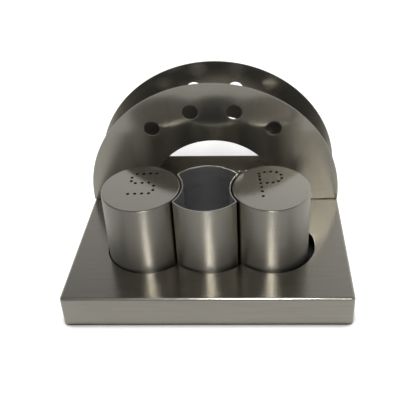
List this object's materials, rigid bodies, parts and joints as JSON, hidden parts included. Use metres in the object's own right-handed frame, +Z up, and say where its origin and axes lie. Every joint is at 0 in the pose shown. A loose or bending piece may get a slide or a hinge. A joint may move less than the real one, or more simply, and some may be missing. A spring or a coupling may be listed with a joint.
{
  "type": "table cruet set with napkin holder",
  "caption": "Steel table set: a folded tray with nested salt shaker, toothpick holder and pepper shaker that lift out, and an arched two-plate napkin holder behind them.",
  "frame": {"origin": "on the table, under the middle of the tray", "axes": "+Z up, +X to the right seen from the front, front towards -Y"},
  "size_m": [0.15, 0.115, 0.098],
  "materials": {
    "tray_steel": "brushed side to side",
    "holder_steel": "brushed side to side",
    "rivet_steel": "plain",
    "shaker_steel": "brushed round the wall, satin on top",
    "sleeve_steel": "brushed round the wall",
    "pan_plastic": "fine grain",
    "foot_rubber": "clear soft bumper",
    "plug_rubber": "soft, matt"
  },
  "bodies": {
    "stand": {"base_tray": "tray_steel", "bottom_pan": "pan_plastic", "foot_front_left": "foot_rubber", "foot_front_right": "foot_rubber", "foot_back_left": "foot_rubber", "foot_back_right": "foot_rubber", "napkin_holder": "holder_steel", "holder_rivets": "rivet_steel"},
    "salt_shaker": {"salt_body": "shaker_steel", "salt_base": "shaker_steel"},
    "salt_stopper": {"salt_plug": "plug_rubber"},
    "pepper_shaker": {"pepper_body": "shaker_steel", "pepper_base": "shaker_steel"},
    "pepper_stopper": {"pepper_plug": "plug_rubber"},
    "toothpick_holder": {"toothpick_sleeve": "sleeve_steel", "toothpick_floor": "sleeve_steel"}
  },
  "joints": [
    {"name": "salt_lift", "type": "slide", "parent": "stand", "child": "salt_shaker", "axis": [0, 0, 1], "range_m": [0, 0.025]},
    {"name": "pepper_lift", "type": "slide", "parent": "stand", "child": "pepper_shaker", "axis": [0, 0, 1], "range_m": [0, 0.025]},
    {"name": "toothpick_lift", "type": "slide", "parent": "stand", "child": "toothpick_holder", "axis": [0, 0, 1], "range_m": [0, 0.025]},
    {"name": "salt_plug_pull", "type": "slide", "parent": "salt_shaker", "child": "salt_stopper", "axis": [0, 0, -1], "range_m": [0, 0.003]},
    {"name": "pepper_plug_pull", "type": "slide", "parent": "pepper_shaker", "child": "pepper_stopper", "axis": [0, 0, -1], "range_m": [0, 0.003]}
  ]
}
